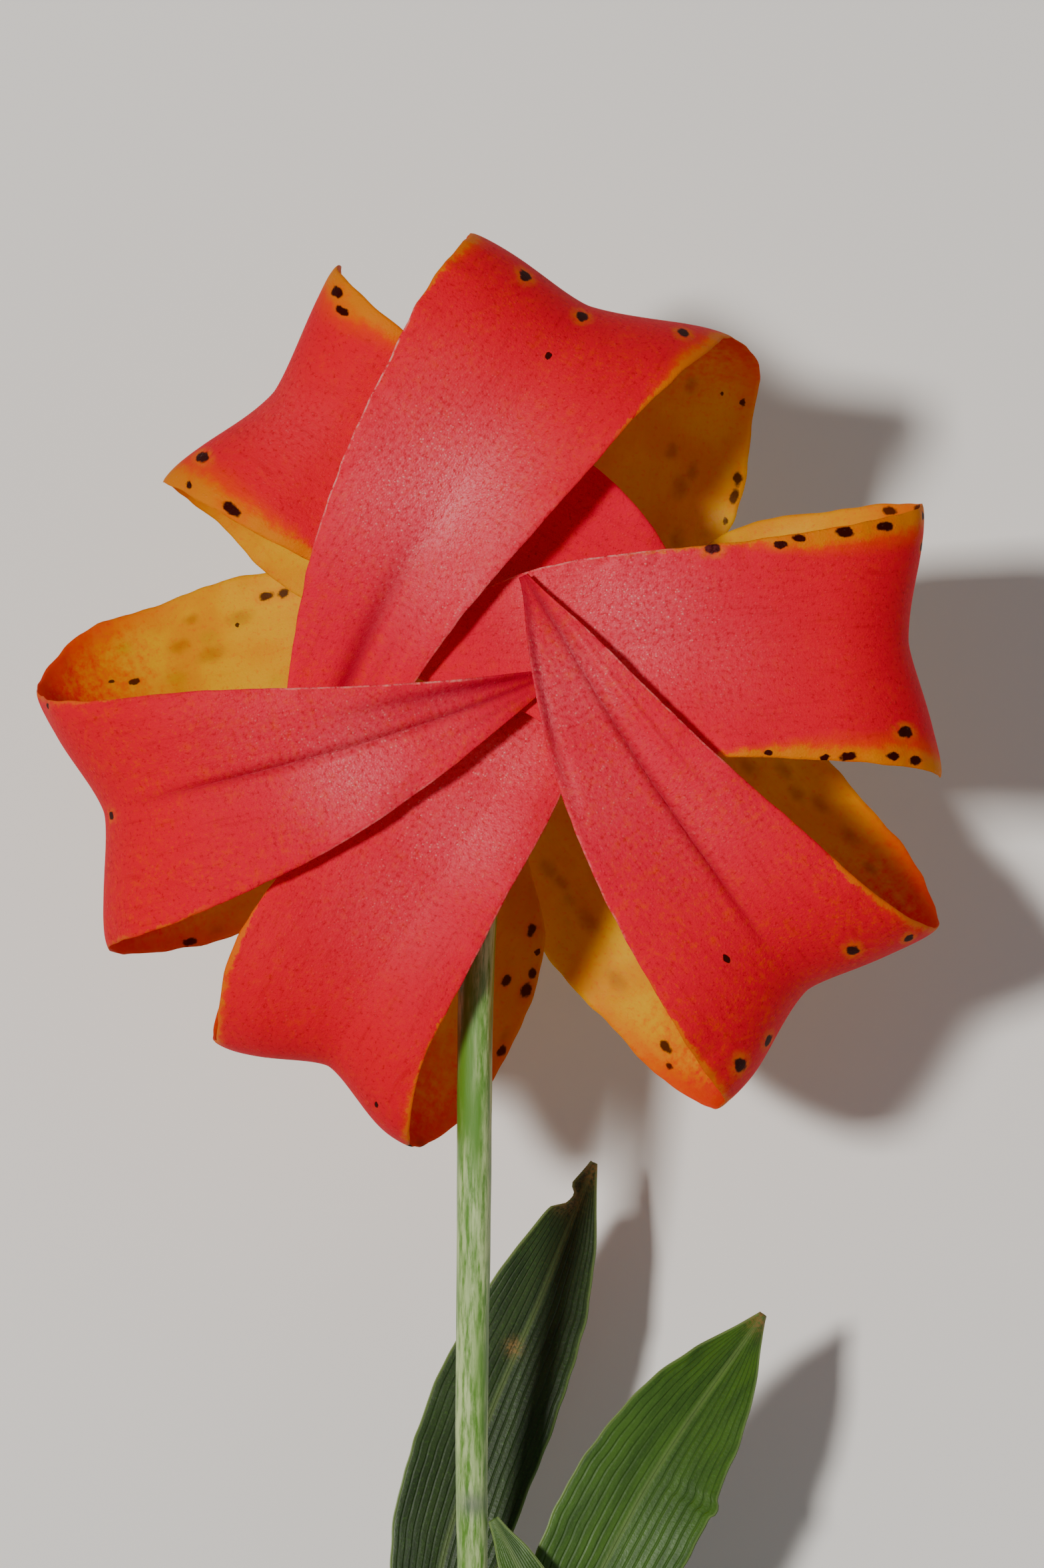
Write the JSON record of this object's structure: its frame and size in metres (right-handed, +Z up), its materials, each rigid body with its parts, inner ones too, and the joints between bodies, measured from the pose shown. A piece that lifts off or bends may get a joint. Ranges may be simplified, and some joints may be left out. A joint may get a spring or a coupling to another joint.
{
  "type": "turks cap lily",
  "caption": "Single picked turk's cap lily lying face down: red tepals rolled right back into a pinwheel, long stamens, bent stalk and a whorl of leaves on a cut stem.",
  "frame": {"origin": "on the surface that the flower lies on, under the middle of its bounding box", "axes": "+Z up; +Y from the cut end of the stem towards the flower; +X to the right in the picture"},
  "size_m": [0.085, 0.1692, 0.0613],
  "materials": {
    "tepal_red": "satin petal, red inside and yellow outside, with dark spots",
    "stem_green": "waxy green with a pale bloom",
    "leaf_green": "satin leaf with parallel veins",
    "filament_green": "smooth pale green",
    "anther_brown": "dusty rust brown"
  },
  "bodies": {
    "root": {"sepal_right": "tepal_red", "sepal_upper_left": "tepal_red", "sepal_lower_left": "tepal_red", "petal_top": "tepal_red", "petal_left": "tepal_red", "petal_lower_right": "tepal_red", "stem": "stem_green", "pistil": "filament_green", "filament_1": "filament_green", "anther_1": "anther_brown", "filament_2": "filament_green", "anther_2": "anther_brown", "filament_3": "filament_green", "anther_3": "anther_brown", "filament_4": "filament_green", "anther_4": "anther_brown", "filament_5": "filament_green", "anther_5": "anther_brown", "filament_6": "filament_green", "anther_6": "anther_brown", "leaf_1": "leaf_green", "leaf_2": "leaf_green", "leaf_3": "leaf_green", "leaf_4": "leaf_green", "leaf_5": "leaf_green", "bract": "leaf_green"}
  },
  "joints": []
}
